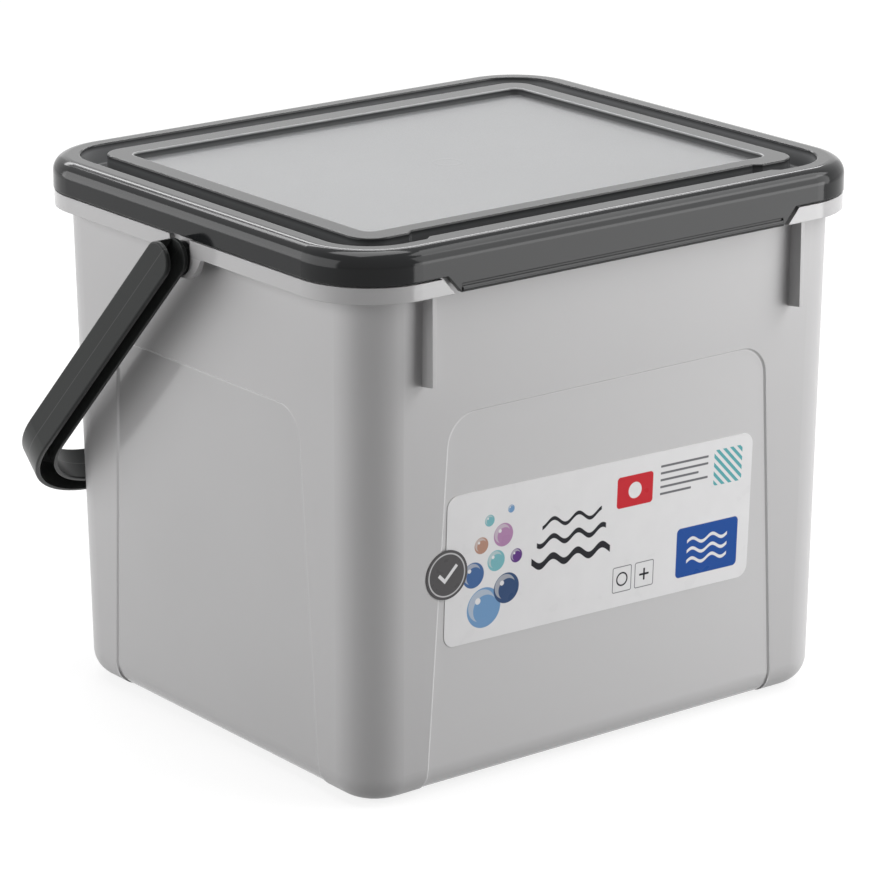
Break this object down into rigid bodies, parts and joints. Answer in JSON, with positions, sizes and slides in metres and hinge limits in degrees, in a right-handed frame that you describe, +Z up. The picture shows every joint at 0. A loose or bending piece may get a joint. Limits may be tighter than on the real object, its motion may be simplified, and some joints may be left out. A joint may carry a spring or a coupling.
{
  "type": "laundry detergent container",
  "caption": "Square plastic bucket for washing powder with a lift-off lid, a front finger grip, a swinging carry handle and a label on the front.",
  "frame": {"origin": "centre of the tub's flat base, on the surface it stands on", "axes": "+X across the width, -Y towards the label and the lid's grip, +Z up"},
  "size_m": [0.2284, 0.195, 0.1795],
  "materials": {
    "tub_plastic": "fine satin moulding",
    "lid_plastic": "satin moulding, frosted panel",
    "handle_plastic": "satin moulding",
    "label_film": "printed film",
    "seal_film": "printed film"
  },
  "bodies": {
    "tub": {"tub": "tub_plastic", "label": "label_film", "seal": "seal_film"},
    "lid": {"lid": "lid_plastic"},
    "handle": {"handle": "handle_plastic"}
  },
  "joints": [
    {"name": "lid_lift", "type": "slide", "parent": "tub", "child": "lid", "axis": [0, 0, 1], "range_m": [0, 0.06]},
    {"name": "handle_swing", "type": "hinge", "parent": "tub", "child": "handle", "pos_m": [0, 0, 0.1622], "axis": [1, 0, 0], "range_deg": [-3.9, 274.7]}
  ]
}
